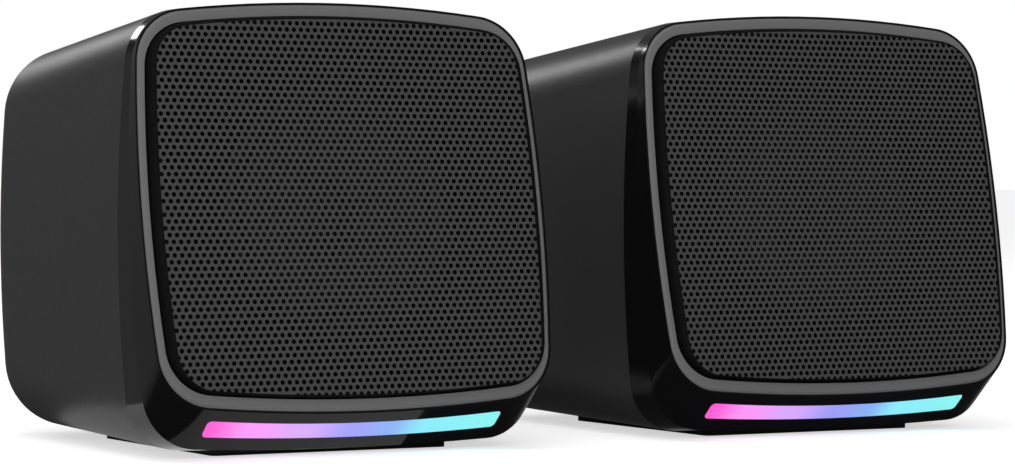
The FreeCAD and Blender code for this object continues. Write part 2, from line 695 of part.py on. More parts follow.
def gasket():
    """The foam ring between the driver's flange and the baffle."""
    pad = ring(GASKET_INNER_RADIUS, FLANGE_RADIUS, BAFFLE_BACK_Y, FLANGE_Y)
    holes = [rod(DRIVER_SCREW_RADIUS + SCREW_CLEARANCE, FAR, x, 0, z) for x, z in driver_screw_places()]
    return on_face(cut_all(pad, holes))


def driver_screws():
    """The four screws that hold the driver, driven from behind."""
    length = DRIVER_SCREW_GRIP + GASKET_THICKNESS + FLANGE_THICKNESS
    one = screw(DRIVER_SCREW_RADIUS, DRIVER_SCREW_HEAD_RADIUS, DRIVER_SCREW_HEAD_HEIGHT, length)
    seat = FLANGE_Y + FLANGE_THICKNESS
    return on_face(Part.makeCompound([shifted(one, x, seat, z) for x, z in driver_screw_places()]))


def top_plate():
    """The steel ring in front of the magnet."""
    return on_face(ring(COIL_OUTER_RADIUS + GAP_CLEARANCE, TOP_PLATE_RADIUS, PLATE_Y, MAGNET_Y))


def magnet():
    """The ferrite ring."""
    return on_face(ring(MAGNET_BORE, MAGNET_RADIUS, MAGNET_Y, YOKE_Y))


def yoke():
    """The steel back plate and its pole, which stands inside the coil."""
    pole = COIL_INNER_RADIUS - GAP_CLEARANCE
    back = YOKE_Y + YOKE_THICKNESS
    return on_face(turned([(0, PLATE_Y), (pole, PLATE_Y), (pole, YOKE_Y),
                           (YOKE_RADIUS, YOKE_Y), (YOKE_RADIUS, back), (0, back)]))


def voice_coil():
    """The coil's tube with its winding, centred on the top plate."""
    neck = FLANGE_Y + CONE_NECK_DEPTH - COIL_STAND
    middle = PLATE_Y + TOP_PLATE_THICKNESS / 2
    front = middle - WINDING_LENGTH / 2
    back = middle + WINDING_LENGTH / 2
    return on_face(turned([
        (COIL_INNER_RADIUS, neck), (COIL_RADIUS, neck), (COIL_RADIUS, front), (COIL_OUTER_RADIUS, front),
        (COIL_OUTER_RADIUS, back), (COIL_INNER_RADIUS, back)]))


def cone_front(radius):
    """Depth of the cone's front surface at a radius, behind the flange's front."""
    neck = COIL_RADIUS + GLUE_GAP
    return CONE_NECK_DEPTH * (CONE_RADIUS - radius) / (CONE_RADIUS - neck)


def cone():
    """The paper cone, from the coil's tube to the surround."""
    neck = COIL_RADIUS + GLUE_GAP
    back = FLANGE_Y + CONE_SHEET
    return on_face(turned([
        (neck, FLANGE_Y + cone_front(neck)), (CONE_RADIUS, FLANGE_Y),
        (CONE_RADIUS, back), (neck, back + cone_front(neck))]))


def dust_cap():
    """The domed cap over the coil, glued to the cone: a slice of a thin ball."""
    foot = FLANGE_Y + cone_front(DUST_CAP_RADIUS) - GLUE_GAP
    ball_radius = (DUST_CAP_RADIUS ** 2 + DUST_CAP_RISE ** 2) / (2 * DUST_CAP_RISE)
    centre = Vector(0, foot - DUST_CAP_RISE + ball_radius, 0)
    ball = Part.makeSphere(ball_radius, centre).cut(Part.makeSphere(ball_radius - CONE_SHEET, centre))
    return on_face(ball.common(box(FAR, FAR, FAR, y=foot - FAR)))


def roll_profile(start, end, rise, sheet):
    """A half-round roll between two radii, as a closed section rising forward from 0."""
    middle = (start + end) / 2
    ends = [Vector(start, 0, 0), Vector(end, 0, 0)]
    inner_ends = [Vector(start + sheet, 0, 0), Vector(end - sheet, 0, 0)]
    edges = [
        Part.Arc(ends[0], Vector(middle, -rise, 0), ends[1]).toShape(),
        Part.makeLine(ends[1], inner_ends[1]),
        Part.Arc(inner_ends[1], Vector(middle, sheet - rise, 0), inner_ends[0]).toShape(),
        Part.makeLine(inner_ends[0], ends[0]),
    ]
    return Part.Face(Part.Wire(edges))


def surround():
    """The rubber roll from the cone's edge to the basket's flange, with its outer lip."""
    seat = FLANGE_Y - GLUE_GAP
    outer_lip = GASKET_INNER_RADIUS - GLUE_GAP
    roll = roll_profile(
        CONE_RADIUS - SURROUND_TUCK, BASKET_INNER_RADIUS + SURROUND_SHEET, SURROUND_RISE, SURROUND_SHEET)
    roll = shifted(roll.revolve(Vector(0, 0, 0), Y_AXIS, 360), y=seat)
    lip = ring(BASKET_INNER_RADIUS, outer_lip, seat - SURROUND_SHEET, seat)
    return on_face(roll.fuse(lip).removeSplitter())


def spider():
    """The corrugated cloth ring that centres the coil."""
    seat = FLANGE_Y + SPIDER_SEAT_DEPTH - GLUE_GAP
    inner = COIL_RADIUS + GLUE_GAP
    lip = SPIDER_SEAT_RADIUS - SPIDER_LIP
    width = (lip - inner) / SPIDER_WAVES
    overlap = 2 * SPIDER_SHEET
    waves = []
    flats = [ring(lip - overlap, SPIDER_SEAT_RADIUS - SPIDER_EDGE_GAP, seat - SPIDER_SHEET, seat)]
    for index in range(SPIDER_WAVES):
        start = inner + index * width
        wave = roll_profile(start, start + width, SPIDER_WAVE_RISE, SPIDER_SHEET)
        waves.append(shifted(wave.revolve(Vector(0, 0, 0), Y_AXIS, 360), y=seat))
    for index in range(1, SPIDER_WAVES):
        joint = inner + index * width
        flats.append(ring(joint - overlap, joint + overlap, seat - SPIDER_SHEET, seat))
    return on_face(join_all(waves + flats))


def terminal_strip():
    """The tag board behind the flange, where the driver's leads are soldered."""
    width, thickness, height = TAG_BOARD
    tag_width, tag_length, tag_thickness = TAG_SIZE
    top = FLANGE_RADIUS - 0.4
    back = FLANGE_Y + FLANGE_THICKNESS
    board = box(width, thickness, height, y=back, z=top - height / 2)
    middle = top - height / 2
    tags = [box(tag_width, tag_length, tag_thickness, x, back, middle) for x in (-width / 4, width / 4)]
    return on_face(join_all([board] + tags))


# ---- Lead glands ----
def gland_places(controls):
    """Where leads leave the back: the power and link leads on the right, the link lead on the left."""
    return [-GLAND_PITCH / 2, GLAND_PITCH / 2] if controls else [0.0]


def lead_gland(controls):
    """The rubber bushes that the leads come out of."""
    glands = []
    for x in gland_places(controls):
        front = BACK_INSIDE_Y - GLAND_TAIL
        barrel = rod(GLAND_RADIUS, BODY_BACK - front, x, front, GLAND_Z)
        flange = rod(GLAND_FLANGE_RADIUS, GLAND_FLANGE_THICKNESS, x, BODY_BACK, GLAND_Z)
        rim = edges_at(flange, BODY_BACK + GLAND_FLANGE_THICKNESS)
        flange = flange.makeFillet(GLAND_FLANGE_THICKNESS / 2, rim)
        bore = rod(GLAND_BORE_RADIUS, FAR, x, front - 1, GLAND_Z)
        glands.append(barrel.fuse(flange).removeSplitter().cut(bore))
    return Part.makeCompound(glands)


# ---- Amplifier and controls ----
def board_screw_places():
    """The (x, z) places of the amplifier board's screws."""
    x = BOARD_WIDTH / 2 - BOARD_POST_INSET
    z = BOARD_HEIGHT / 2 - BOARD_POST_INSET
    return [(sx * x, BOARD_Z + sz * z) for sx in (-1, 1) for sz in (-1, 1)]


def amplifier_board():
    """The printed board behind the back wall."""
    front = BOARD_BACK_Y - BOARD_THICKNESS
    board = box(BOARD_WIDTH, BOARD_THICKNESS, BOARD_HEIGHT, 0, front, BOARD_Z)
    radius = BOARD_SCREW_RADIUS + SCREW_CLEARANCE
    holes = [rod(radius, BOARD_THICKNESS, x, front, z) for x, z in board_screw_places()]
    return cut_all(board, holes)


def board_screws():
    """The four screws of the amplifier board, driven from the front."""
    length = BOARD_SCREW_GRIP + BOARD_THICKNESS
    one = screw(BOARD_SCREW_RADIUS, BOARD_SCREW_HEAD_RADIUS, BOARD_SCREW_HEAD_HEIGHT, length)
    one = moved(one, Placement(Vector(), Rotation(Z_AXIS, 180)))
    front = BOARD_BACK_Y - BOARD_THICKNESS
    return Part.makeCompound([shifted(one, x, front, z) for x, z in board_screw_places()])


def board_components():
    """The larger components on the front of the board: capacitors, heat sink and lead header."""
    front = BOARD_BACK_Y - BOARD_THICKNESS
    pieces = []
    for x, radius, length in ((-18.0, 5.0, 12.0), (-5.0, 4.0, 11.0), (5.0, 4.0, 11.0)):
        can = rod(radius, length, x, front - length, BOARD_Z + 12.0)
        pieces.append(can.makeFillet(0.8, edges_at(can, front - length)))
    sink = box(22.0, 3.0, 14.0, -8.0, front - 3.0, BOARD_Z - 8.0)
    fins = [box(1.2, 7.0, 14.0, -8.0 + x, front - 10.0, BOARD_Z - 8.0) for x in (-10.4, -5.2, 0.0, 5.2, 10.4)]
    pieces.append(join_all([sink] + fins))
    pieces.append(box(12.0, 6.0, 6.0, 16.0, front - 6.0, BOARD_Z - 10.0))
    return Part.makeCompound(pieces)


def volume_pot():
    """The rotary control on the board; the shaft turns in its bore."""
    width, depth, height = POT_SIZE
    body = box(width, depth, height, KNOB_X, BOARD_BACK_Y, KNOB_Z)
    bore_y = BOARD_BACK_Y + depth - POT_BORE_DEPTH
    return body.cut(rod(SHAFT_RADIUS + SHAFT_CLEARANCE, FAR, KNOB_X, bore_y, KNOB_Z))


def shaft_front():
    """Where the volume shaft ends inside the control."""
    return BOARD_BACK_Y + POT_SIZE[1] - POT_BORE_DEPTH + SHAFT_CLEARANCE


def shaft_tip():
    """Where the volume shaft ends inside the knob."""
    return BODY_BACK + KNOB_GAP + KNOB_LENGTH * 0.75


def volume_shaft():
    """The turning shaft, with a flat that carries the knob."""
    shaft = rod(SHAFT_RADIUS, shaft_tip() - shaft_front(), KNOB_X, shaft_front(), KNOB_Z)
    return shaft.cut(shaft_flat())


def shaft_flat():
    """The side cut off the shaft inside the knob."""
    start = BODY_BACK + KNOB_GAP + 1.0
    return box(2 * SHAFT_RADIUS, FAR, SHAFT_RADIUS, KNOB_X, start, KNOB_Z + 1.15 * SHAFT_RADIUS)


def volume_knob():
    """The ribbed knob, with a mark on its face."""
    back = BODY_BACK + KNOB_GAP + KNOB_LENGTH
    body = rod(KNOB_RADIUS, KNOB_LENGTH, y=BODY_BACK + KNOB_GAP)
    body = body.makeChamfer(0.8, edges_at(body, back))
    grooves = []
    for index in range(KNOB_RIBS):
        angle = 2 * math.pi * index / KNOB_RIBS
        x = KNOB_RADIUS * math.cos(angle)
        z = KNOB_RADIUS * math.sin(angle)
        grooves.append(rod(KNOB_RIB_DEPTH, KNOB_LENGTH - 2.5, x, BODY_BACK + KNOB_GAP + 1.2, z))
    mark = box(KNOB_MARK_WIDTH, KNOB_LENGTH, KNOB_RADIUS / 2, 0, back - KNOB_MARK_DEPTH, KNOB_RADIUS * 0.6)
    knob = shifted(cut_all(body, grooves + [mark]), KNOB_X, 0, KNOB_Z)
    radius = SHAFT_RADIUS + GLUE_GAP
    bore = rod(radius, shaft_tip() + GLUE_GAP - BODY_BACK, KNOB_X, BODY_BACK, KNOB_Z)
    return knob.cut(bore.cut(shifted(shaft_flat(), z=GLUE_GAP)))


def light_button():
    """The push button that changes the light, with the flange that keeps it in."""
    face = BODY_BACK + BUTTON_PROUD
    start = BACK_INSIDE_Y - BUTTON_FLANGE_THICKNESS
    cap = rod(BUTTON_RADIUS, face - start, BUTTON_X, start, KNOB_Z)
    cap = cap.makeFillet(0.6, edges_at(cap, face))
    flange = rod(BUTTON_RADIUS + BUTTON_FLANGE, BUTTON_FLANGE_THICKNESS, BUTTON_X, start, KNOB_Z)
    return cap.fuse(flange).removeSplitter()


def switch_back():
    """The face of the switch that the plunger comes out of."""
    return BOARD_BACK_Y + SWITCH_SIZE[1]


def switch_plunger():
    """The switch's plunger, which reaches the button."""
    start = switch_back() - PLUNGER_BORE_DEPTH + BUTTON_TRAVEL + PLUNGER_CLEARANCE
    end = BACK_INSIDE_Y - BUTTON_FLANGE_THICKNESS
    return rod(PLUNGER_RADIUS, end - start, BUTTON_X, start, KNOB_Z)


def light_switch():
    """The body of the push switch on the board."""
    width, depth, height = SWITCH_SIZE
    body = box(width, depth, height, BUTTON_X, BOARD_BACK_Y, KNOB_Z)
    start = switch_back() - PLUNGER_BORE_DEPTH
    return body.cut(rod(PLUNGER_RADIUS + PLUNGER_CLEARANCE, FAR, BUTTON_X, start, KNOB_Z))


# ---- The pair ----
def speaker(controls):
    """Every piece of one speaker, by name."""
    pieces = {
        "front_frame": front_frame(),
        "rim_trim": rim_trim(),
        "grille": grille(),
        "light_diffuser": light_diffuser(),
        "led_board": led_board(),
        "leds": leds(),
        "led_board_screws": led_board_screws(),
        "housing": housing(controls),
        "housing_screws": housing_screws(),
        "foot_pad": foot_block(),
        "lead_gland": lead_gland(controls),
        "driver_basket": basket(),
        "driver_gasket": gasket(),
        "driver_screws": driver_screws(),
        "terminal_strip": terminal_strip(),
        "top_plate": top_plate(),
        "magnet": magnet(),
        "yoke": yoke(),
        "voice_coil": voice_coil(),
        "cone": cone(),
        "dust_cap": dust_cap(),
        "surround": surround(),
        "spider": spider(),
    }
    if controls:
        pieces.update({
            "amplifier_board": amplifier_board(),
            "board_components": board_components(),
            "board_screws": board_screws(),
            "volume_pot": volume_pot(),
            "volume_shaft": volume_shaft(),
            "volume_knob": volume_knob(),
            "light_button": light_button(),
            "light_switch": light_switch(),
            "switch_plunger": switch_plunger(),
        })
    return pieces


def pair_depth_middle(pieces):
    """Halfway between the front and back of the pair, measured on the pieces that reach furthest."""
    front = min(piece.optimalBoundingBox().YMin for piece in pieces.values())
    back = max(piece.optimalBoundingBox().YMax for piece in pieces.values())
    return (front + back) / 2


def main():
    """Build both speakers and write one file for each piece."""
    os.makedirs("parts", exist_ok=True)
    speakers = {"left": speaker(False), "right": speaker(True)}
    middle = pair_depth_middle(speakers["right"])
    centres = {"left": -PAIR_SPACING / 2, "right": PAIR_SPACING / 2}
    for side, pieces in speakers.items():
        for name, shape in pieces.items():
            placed = shifted(shape, centres[side], -middle)
            placed.exportStep("parts/%s_%s.step" % (side, name))
    print("depth from the middle of the grille's face to the origin: %.3f" % middle)


main()
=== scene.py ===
"""A pair of small desktop speakers: perforated grilles, light bars, gloss frames and matte housings."""

import json
import math

import bmesh
import bpy
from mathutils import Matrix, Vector
from mathutils.geometry import delaunay_2d_cdt


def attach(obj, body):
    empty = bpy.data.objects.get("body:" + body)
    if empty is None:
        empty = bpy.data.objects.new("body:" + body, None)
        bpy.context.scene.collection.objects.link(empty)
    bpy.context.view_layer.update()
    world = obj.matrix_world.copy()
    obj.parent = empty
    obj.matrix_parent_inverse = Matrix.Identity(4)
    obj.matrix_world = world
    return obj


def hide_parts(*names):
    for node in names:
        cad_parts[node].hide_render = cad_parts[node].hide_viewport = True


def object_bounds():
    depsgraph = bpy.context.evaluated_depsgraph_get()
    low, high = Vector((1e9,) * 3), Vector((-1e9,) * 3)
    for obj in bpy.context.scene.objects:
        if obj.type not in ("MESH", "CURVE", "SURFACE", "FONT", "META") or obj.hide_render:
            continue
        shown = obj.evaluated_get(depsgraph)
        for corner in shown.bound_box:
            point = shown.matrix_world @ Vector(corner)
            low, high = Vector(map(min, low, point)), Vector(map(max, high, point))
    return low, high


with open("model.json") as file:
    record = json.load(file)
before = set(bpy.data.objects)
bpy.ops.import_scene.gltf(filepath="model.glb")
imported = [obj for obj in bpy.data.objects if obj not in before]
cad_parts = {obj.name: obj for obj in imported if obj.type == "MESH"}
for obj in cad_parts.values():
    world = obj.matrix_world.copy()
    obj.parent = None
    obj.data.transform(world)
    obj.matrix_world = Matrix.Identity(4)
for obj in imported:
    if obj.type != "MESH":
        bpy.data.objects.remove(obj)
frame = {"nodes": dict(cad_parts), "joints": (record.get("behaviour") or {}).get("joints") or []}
CAD_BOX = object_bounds()

SIDES = ("left", "right")
MM = 0.001

# ---- Camera, set from the middle of the two grille faces ----
CAMERA_OFFSET = Vector((-409.27, -699.86, 3.80)) * MM
CAMERA_AZIMUTH = -28.713
CAMERA_ELEVATION = 0.747
LENS = 122.05
SENSOR = 36.0
NEAR_CLIP = 0.01
FAR_CLIP = 500.0

# ---- Light, in metres and watts ----
ROOM_TONES = (                # height in the room from bottom to top, and its brightness
    (0.0, 0.02),
    (0.30, 0.03),
    (0.37, 0.17),
    (0.575, 0.18),
    (0.64, 0.06),
    (1.0, 0.55),
)
SOFT_BOXES = (                # name, place from the object's middle, size, power
    ("back_box", (-0.32, 1.77, 0.86), (0.42, 0.30), 4.0),
    ("side_fill", (-0.81, -1.48, 0.6), (1.4, 1.0), 12.0),
    ("top_box", (-0.3, -0.2, 1.7), (1.2, 1.2), 5.0),
)
CARD_PLACE = (-0.068, -0.065, -0.0508)   # from the object's middle, just above the floor
CARD_SIZE = (0.048, 0.2)
CARD_TURN = 35.6              # degrees, so that its end slants as the photograph's reflection does
CARD_POWER = 0.014
FLOOR_TONE = 0.93
FLOOR_GLOW = 0.6              # what the camera sees of the floor besides the light on it
FLOOR_REACH = 60.0
FLOOR_CELLS = 8

# ---- Perforated grille ----
HOLE_PITCH = 1.75 * MM
ROW_PITCH = HOLE_PITCH * math.sqrt(0.75)
HOLE_RADIUS = 0.56 * MM
HOLE_SIDES = 10
HOLE_ROWS = 60
HOLE_COLUMNS = 55
HOLE_OVERHANG = 0.25 * MM     # a hole's centre may lie this far past the end of the flat
SHEET = 0.4 * MM              # thickness
FLAT_RISE = 0.7 * MM          # the flat's top reaches this far past the CAD model's
FLAT_DROP = 1.3 * MM          # and its bottom this far
SET_BACK = 0.23 * MM          # keeps the lowered, leaning bottom inside the CAD model's box
EDGE_RADIUS = 1.6 * MM
EDGE_STEPS = 6
EDGE_GAP = 0.02 * MM          # between the sheet and the ring it lies in
LEDGE_WIDTH = 0.8 * MM        # how far the ring reaches under the sheet
LEDGE_THICKNESS = 0.6 * MM
SKIRT_DEPTH = 5.2 * MM
OUTLINE_POINTS = 320
FLAT_TOLERANCE = 0.01 * MM
CUT_TOLERANCE = 1e-9
SHARP_ANGLE = math.radians(40)


# ---- Helpers for meshes ----
def face_directions():
    """Front and upward directions of the leaning face, from the way the cones travel."""
    travel = next(j for j in frame["joints"] if j["name"] == "left_cone_travel")
    back = Vector(travel["axis"]).normalized()
    if back.y < 0:
        back = -back
    return -back, Vector((1, 0, 0)).cross(back)


FRONT, UP = face_directions()
ACROSS = Vector((1, 0, 0))


def chained(edges):
    """The points of the one closed loop that these edges make."""
    after = {}
    for a, b in edges:
        after.setdefault(a, []).append(b)
        after.setdefault(b, []).append(a)
    start = edges[0][0]
    loop = [start, after[start][0]]
    while True:
        ahead = [p for p in after[loop[-1]] if p != loop[-2]]
        if ahead[0] == start:
            return loop
        loop.append(ahead[0])


def resampled(loop, count):
    """The same closed line with its points evenly spaced."""
    ends = loop[1:] + loop[:1]
    lengths = [(b - a).length for a, b in zip(loop, ends)]
    step = sum(lengths) / count
    points, walked, side = [], 0.0, 0
    for i in range(count):
        while walked + lengths[side] < i * step:
            walked += lengths[side]
            side += 1
        share = (i * step - walked) / lengths[side]
        points.append(loop[side].lerp(ends[side], share))
    return points


def flat_outline(node):
    """Outline of a node's flat front, as (across, up) points, and how far forward it lies."""
    mesh = frame["nodes"][node].data
    reach = max(v.co.dot(FRONT) for v in mesh.vertices)
    flat = [p for p in mesh.polygons
            if all(reach - mesh.vertices[i].co.dot(FRONT) < FLAT_TOLERANCE for i in p.vertices)]
    used = {}
    for polygon in flat:
        corners = [tuple(round(c, 7) for c in mesh.vertices[i].co) for i in polygon.vertices]
        for a, b in zip(corners, corners[1:] + corners[:1]):
            used.setdefault(frozenset((a, b)), []).append((a, b))
    rim = [found[0] for found in used.values() if len(found) == 1]
    loop = [Vector(p) for p in chained(rim)]
    loop = [Vector((p.dot(ACROSS), p.dot(UP))) for p in loop]
    area = sum(a.x * b.y - b.x * a.y for a, b in zip(loop, loop[1:] + loop[:1]))
    if area < 0:
        loop.reverse()
    return resampled(loop, OUTLINE_POINTS), reach


def middle(points):
    """The middle of the box round some points."""
    low = Vector((min(p.x for p in points), min(p.y for p in points)))
    high = Vector((max(p.x for p in points), max(p.y for p in points)))
    return (low + high) / 2


def grown(loop, distance):
    """The loop moved outwards along its own normals."""
    made = []
    for before, here, after in zip(loop[-1:] + loop[:-1], loop, loop[1:] + loop[:1]):
        along = (after - before).normalized()
        made.append(here + Vector((along.y, -along.x)) * distance)
    return made


def stretched(loop, rise, drop):
    """The loop made taller: its top goes up by rise and its bottom goes down by drop."""
    low, high = min(p.y for p in loop), max(p.y for p in loop)
    share = 1 + (rise + drop) / (high - low)
    return [Vector((p.x, low - drop + (p.y - low) * share)) for p in loop]


def depth_inside(point, loop):
    """Distance from a point to a closed loop, negative outside it."""
    nearest, inside = 1e9, False
    for a, b in zip(loop, loop[1:] + loop[:1]):
        side = b - a
        share = max(0.0, min(1.0, (point - a).dot(side) / side.length_squared))
        nearest = min(nearest, (point - a - side * share).length)
        if (a.y > point.y) != (b.y > point.y):
            if point.x < a.x + (point.y - a.y) * side.x / side.y:
                inside = not inside
    return nearest if inside else -nearest


def linked(name, data):
    """A new object in the scene that shows this data."""
    made = bpy.data.objects.new(name, data)
    bpy.context.scene.collection.objects.link(made)
    return made


def object_from(name, bm, materials):
    """A new object made from a bmesh, which is used up."""
    mesh = bpy.data.meshes.new(name)
    bm.to_mesh(mesh)
    bm.free()
    for material in materials:
        mesh.materials.append(material)
    return linked(name, mesh)


# ---- Helpers for materials ----
def set_stops(ramp, stops):
    """Gives a colour ramp these (place, colour) stops."""
    elements = ramp.color_ramp.elements
    for _ in stops[2:]:
        elements.new(0.5)
    for element, (place, colour) in zip(elements, stops):
        element.position = place
        element.color = (*colour, 1.0)


class Finish:
    """A Principled material with a few named ways of adding detail to it."""

    def __init__(self, name, colour, roughness, metallic=0.0, specular=0.5):
        self.material = bpy.data.materials.new(name)
        self.material.use_nodes = True
        self.nodes = self.material.node_tree.nodes
        self.shader = self.nodes["Principled BSDF"]
        self.colour = colour
        self.roughness = roughness
        self.set("Base Color", (*colour, 1.0))
        self.set("Roughness", roughness)
        self.set("Metallic", metallic)
        self.set("Specular IOR Level", specular)
        self.places = self.nodes.new("ShaderNodeTexCoord").outputs

    def set(self, socket, value):
        self.shader.inputs[socket].default_value = value

    def link(self, output, socket):
        self.material.node_tree.links.new(output, socket)

    def pattern(self, kind, size, stretch=(1, 1, 1)):
        """A pattern node whose lumps are about this many metres across."""
        mapping = self.nodes.new("ShaderNodeMapping")
        mapping.inputs["Scale"].default_value = [1 / (size * s) for s in stretch]
        self.link(self.places["Object"], mapping.inputs["Vector"])
        node = self.nodes.new(kind)
        node.inputs["Scale"].default_value = 1.0
        self.link(mapping.outputs["Vector"], node.inputs["Vector"])
        return node

    def noise(self, size, detail=4.0, stretch=(1, 1, 1)):
        """Cloudy noise."""
        node = self.pattern("ShaderNodeTexNoise", size, stretch)
        node.inputs["Detail"].default_value = detail
        return node.outputs["Fac"]

    def cells(self, size, feature="F1"):
        """Rounded cells."""
        node = self.pattern("ShaderNodeTexVoronoi", size)
        node.feature = feature
        return node.outputs["Distance"]

    def spread(self, value, low, high, start=0.3, end=0.7):
        """A value mapped onto a range."""
        node = self.nodes.new("ShaderNodeMapRange")
        node.inputs["From Min"].default_value = start
        node.inputs["From Max"].default_value = end
        node.inputs["To Min"].default_value = low
        node.inputs["To Max"].default_value = high
        self.link(value, node.inputs["Value"])
        return node.outputs["Result"]

    def vary_roughness(self, value, amount):
        """Makes the surface duller and glossier than its own roughness by this amount."""
        spread = self.spread(value, self.roughness - amount, self.roughness + amount)
        self.link(spread, self.shader.inputs["Roughness"])

    def vary_colour(self, value, other, start=0.3, end=0.7):
        """Blends the colour towards another where the value is high."""
        mix = self.nodes.new("ShaderNodeMix")
        mix.data_type = "RGBA"
        mix.inputs["A"].default_value = (*self.colour, 1.0)
        mix.inputs["B"].default_value = (*other, 1.0)
        self.link(self.spread(value, 0.0, 1.0, start, end), mix.inputs["Factor"])
        self.link(mix.outputs["Result"], self.shader.inputs["Base Color"])

    def bump(self, value, height):
        """Gives the surface relief of this height in metres."""
        node = self.nodes.new("ShaderNodeBump")
        node.inputs["Strength"].default_value = 1.0
        node.inputs["Distance"].default_value = height
        self.link(value, node.inputs["Height"])
        self.link(node.outputs["Normal"], self.shader.inputs["Normal"])


def tinted(colour, factor):
    """A lighter or darker version of a colour."""
    return tuple(min(1.0, c * factor) for c in colour)


def plastic(name, colour, roughness, grain, relief):
    """Moulded plastic with a spark-eroded grain and faint handling marks."""
    made = Finish(name, colour, roughness)
    made.vary_colour(made.noise(12 * MM), tinted(colour, 1.06))
    made.vary_roughness(made.noise(1.2 * MM, 6.0), 0.03)
    made.bump(made.noise(grain, 2.0), relief)
    return made.material


def metal(name, colour, roughness, stretch=(1, 1, 1), relief=0.004 * MM):
    """Plated or bare metal with fine drawn lines and duller patches."""
    made = Finish(name, colour, roughness, metallic=1.0)
    made.vary_colour(made.noise(4 * MM), tinted(colour, 0.8))
    made.vary_roughness(made.noise(0.4 * MM, 5.0, stretch), 0.09)
    made.bump(made.noise(0.15 * MM, 3.0, stretch), relief)
    return made.material


def soft(name, colour, roughness, grain, relief, sheen=0.0):
    """Rubber, paper, foam or cloth."""
    made = Finish(name, colour, roughness, specular=0.3)
    made.set("Sheen Weight", sheen)
    made.vary_colour(made.noise(grain * 4, 6.0), tinted(colour, 1.35))
    made.vary_roughness(made.noise(grain * 8), 0.06)
    made.bump(made.noise(grain, 5.0), relief)
    return made.material


# ---- Materials, one function for each slot ----
def housing_plastic():
    return plastic("housing_plastic", (0.03, 0.03, 0.0305), 0.42, 0.28 * MM, 0.02 * MM)


def frame_gloss():
    """Polished black moulding, very slightly wavy."""
    made = Finish("frame_gloss", (0.005, 0.005, 0.0055), 0.12, specular=0.34)
    made.vary_colour(made.noise(8 * MM), (0.006, 0.006, 0.007))
    made.vary_roughness(made.noise(2 * MM, 7.0), 0.015)
    made.bump(made.noise(14 * MM, 0.0), 0.004 * MM)
    return made.material


def rim_paint():
    """Satin grey paint with a fine fleck."""
    made = Finish("rim_paint", (0.18, 0.18, 0.181), 0.5, specular=0.35)
    made.vary_colour(made.cells(0.12 * MM), (0.19, 0.19, 0.191), 0.2, 0.8)
    made.vary_roughness(made.noise(3 * MM, 6.0), 0.05)
    made.bump(made.noise(0.2 * MM, 2.0), 0.004 * MM)
    return made.material


def grille_paint():
    """Matt powder coat."""
    made = Finish("grille_paint", (0.056, 0.056, 0.057), 0.5, specular=0.4)
    made.vary_colour(made.noise(0.7 * MM), (0.062, 0.062, 0.063))
    made.vary_roughness(made.noise(1.5 * MM, 5.0), 0.07)
    made.bump(made.noise(0.16 * MM, 3.0), 0.012 * MM)
    return made.material


def grille_painted_shade():
    """A near-black copy of the same coat, painted shade where it lies in deep shade: hole walls, round
    edge and skirt.
    """
    # Near-black colour: painted shade, not the coat's own colour.
    made = Finish("grille_painted_shade", (0.004, 0.004, 0.004), 0.75, specular=0.08)
    made.vary_colour(made.noise(1.2 * MM), (0.006, 0.006, 0.006))
    made.vary_roughness(made.noise(0.8 * MM, 5.0), 0.08)
    made.bump(made.noise(0.16 * MM, 3.0), 0.012 * MM)
    return made.material


BAR_COLOURS = (               # share of the bar's length, and the colour there
    (0.00, (1.0, 0.09, 0.64)),
    (0.15, (0.97, 0.31, 0.94)),
    (0.32, (0.68, 0.39, 0.95)),
    (0.50, (0.33, 0.33, 0.94)),
    (0.62, (0.24, 0.42, 0.90)),
    (0.75, (0.25, 0.84, 0.96)),
    (1.00, (0.25, 0.90, 0.87)),
)


def diffuser():
    """Milky light bar, lit in a row of colours that run into each other."""
    made = Finish("diffuser", (0.04, 0.04, 0.045), 0.3, specular=0.3)
    along = made.nodes.new("ShaderNodeSeparateXYZ")
    made.link(made.places["Generated"], along.inputs["Vector"])
    ramp = made.nodes.new("ShaderNodeValToRGB")
    ramp.color_ramp.interpolation = "EASE"
    set_stops(ramp, BAR_COLOURS)
    made.link(along.outputs["X"], ramp.inputs["Fac"])
    made.link(ramp.outputs["Color"], made.shader.inputs["Emission Color"])
    made.set("Emission Strength", 1.0)
    made.vary_roughness(made.noise(1.5 * MM, 5.0), 0.05)
    made.bump(made.noise(0.3 * MM, 3.0), 0.006 * MM)
    return made.material


def foot_rubber():
    return soft("foot_rubber", (0.018, 0.018, 0.018), 0.8, 0.35 * MM, 0.04 * MM)


def gland_rubber():
    return soft("gland_rubber", (0.012, 0.012, 0.012), 0.65, 0.3 * MM, 0.02 * MM)


def circuit_board():
    """Green solder mask over tracks."""
    made = Finish("circuit_board", (0.01, 0.07, 0.025), 0.35)
    made.vary_colour(made.cells(2.2 * MM, "SMOOTH_F1"), (0.02, 0.13, 0.05), 0.3, 0.55)
    made.vary_roughness(made.noise(2 * MM), 0.06)
    made.bump(made.cells(2.2 * MM, "SMOOTH_F1"), 0.02 * MM)
    return made.material


def led_body():
    return plastic("led_body", (0.8, 0.79, 0.72), 0.35, 0.2 * MM, 0.005 * MM)


def components():
    """Black plastic bodies with patches of plain metal."""
    made = Finish("components", (0.02, 0.02, 0.022), 0.4)
    made.vary_colour(made.noise(9 * MM, 1.0), (0.10, 0.11, 0.13), 0.48, 0.54)
    made.vary_roughness(made.noise(1 * MM), 0.08)
    made.bump(made.noise(0.2 * MM), 0.008 * MM)
    return made.material


def screw_steel():
    return metal("screw_steel", (0.10, 0.10, 0.105), 0.32)


def basket_steel():
    return metal("basket_steel", (0.06, 0.06, 0.062), 0.42, relief=0.008 * MM)


def plate_steel():
    return metal("plate_steel", (0.55, 0.56, 0.52), 0.30, (1, 1, 6))


def ferrite():
    return soft("ferrite", (0.03, 0.03, 0.032), 0.55, 0.5 * MM, 0.03 * MM)


